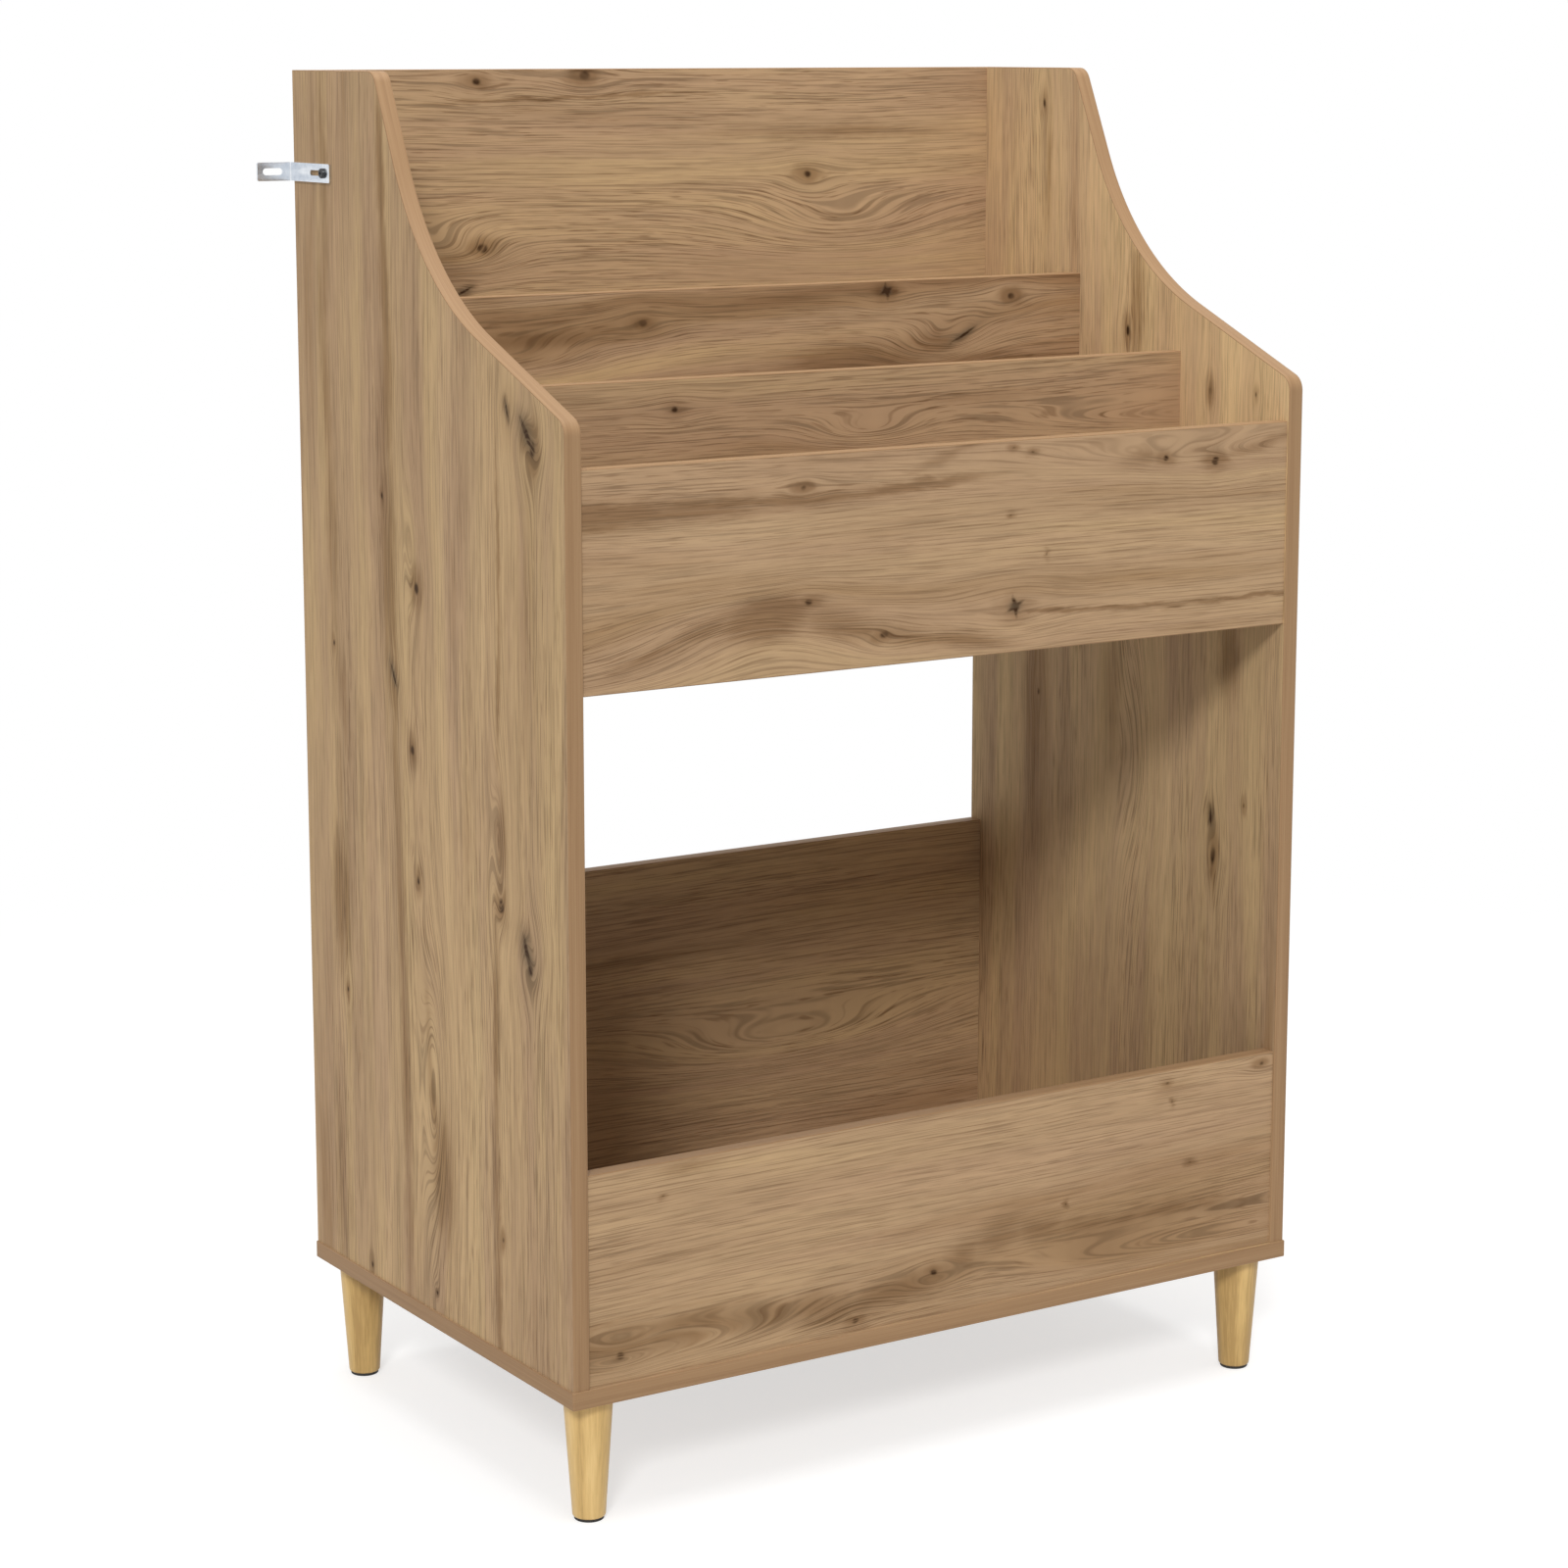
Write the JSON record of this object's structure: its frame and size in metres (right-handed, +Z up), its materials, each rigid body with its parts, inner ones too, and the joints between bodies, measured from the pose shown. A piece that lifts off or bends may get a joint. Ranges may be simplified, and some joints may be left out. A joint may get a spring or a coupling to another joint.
{
  "type": "media shelf",
  "caption": "Oak-decor media shelf on conical legs: stepped open bins between swept sides above an open lower compartment, with slotted wall brackets at the back.",
  "frame": {"origin": "on the floor, under the middle of the outline, wall brackets included", "axes": "+Z up, +X to the right seen from the front, +Y towards the wall"},
  "size_m": [0.8122, 0.4806, 1.1785],
  "materials": {
    "oak_decor": "matt oak-decor foil",
    "edge_band": "matt oak-toned edge band",
    "pine": "clear satin lacquer on pine",
    "foot_pad": "matt black",
    "zinc_steel": "bright zinc plate",
    "dark_screw": "black zinc",
    "dowel_wood": "bare beech"
  },
  "bodies": {
    "shelf": {"left_side_panel": "oak_decor", "right_side_panel": "oak_decor", "base_board": "oak_decor", "lower_front_panel": "oak_decor", "lower_back_panel": "oak_decor", "upper_front_panel": "oak_decor", "middle_divider": "oak_decor", "rear_divider": "oak_decor", "upper_back_panel": "oak_decor", "front_bin_floor": "oak_decor", "middle_bin_floor": "oak_decor", "rear_bin_floor": "oak_decor", "left_side_edge_band": "edge_band", "right_side_edge_band": "edge_band", "base_edge_band": "edge_band", "lower_front_panel_edge_band": "edge_band", "lower_back_panel_edge_band": "edge_band", "upper_front_panel_edge_band": "edge_band", "middle_divider_edge_band": "edge_band", "rear_divider_edge_band": "edge_band", "upper_back_panel_edge_band": "edge_band", "front_left_leg": "pine", "front_right_leg": "pine", "rear_left_leg": "pine", "rear_right_leg": "pine", "front_left_foot_pad": "foot_pad", "front_right_foot_pad": "foot_pad", "rear_left_foot_pad": "foot_pad", "rear_right_foot_pad": "foot_pad", "leg_hanger_bolts": "zinc_steel", "leg_insert_nuts": "zinc_steel", "cam_bolts": "zinc_steel", "cam_locks": "zinc_steel", "base_screws": "zinc_steel", "dowels": "dowel_wood", "bracket_screws": "dark_screw"},
    "left_bracket": {"left_wall_bracket": "zinc_steel"},
    "right_bracket": {"right_wall_bracket": "zinc_steel"}
  },
  "joints": [
    {"name": "left_bracket_slide", "type": "slide", "parent": "shelf", "child": "left_bracket", "axis": [0, 1, 0], "range_m": [-0.0224, 0]},
    {"name": "right_bracket_slide", "type": "slide", "parent": "shelf", "child": "right_bracket", "axis": [0, 1, 0], "range_m": [-0.0224, 0]}
  ]
}
